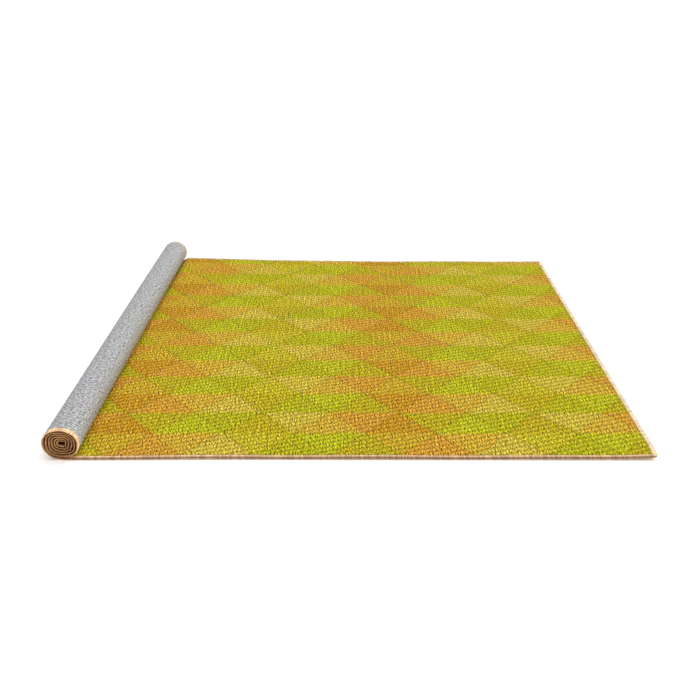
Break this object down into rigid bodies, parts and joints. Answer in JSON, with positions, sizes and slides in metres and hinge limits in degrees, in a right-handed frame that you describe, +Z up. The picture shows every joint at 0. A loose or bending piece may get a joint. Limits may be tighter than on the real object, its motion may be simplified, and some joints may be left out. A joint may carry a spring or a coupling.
{
  "type": "part-rolled area rug",
  "caption": "Flat woven area rug with a grey felt backing and yarn-serged edges, one end rolled up into a tight roll.",
  "frame": {"origin": "middle of the floor outline of the rug as it lies, on the floor", "axes": "+X along the rug from the roll to its free end, -Y towards its front edge, +Z up"},
  "size_m": [0.9514, 0.914, 0.0611],
  "materials": {
    "chenille": "patterned chenille weave",
    "latex_bond": "matte",
    "grey_felt": "mottled matte felt",
    "serging_yarn": "wrapped yarn",
    "sewing_thread": "matte thread"
  },
  "bodies": {
    "root": {"chenille_face": "chenille", "bond_coat": "latex_bond", "grey_backing": "grey_felt", "front_serging": "serging_yarn", "back_serging": "serging_yarn", "free_end_serging": "serging_yarn", "rolled_end_serging": "serging_yarn", "front_needle_thread": "sewing_thread", "back_needle_thread": "sewing_thread", "free_end_needle_thread": "sewing_thread", "rolled_end_needle_thread": "sewing_thread"}
  },
  "joints": []
}
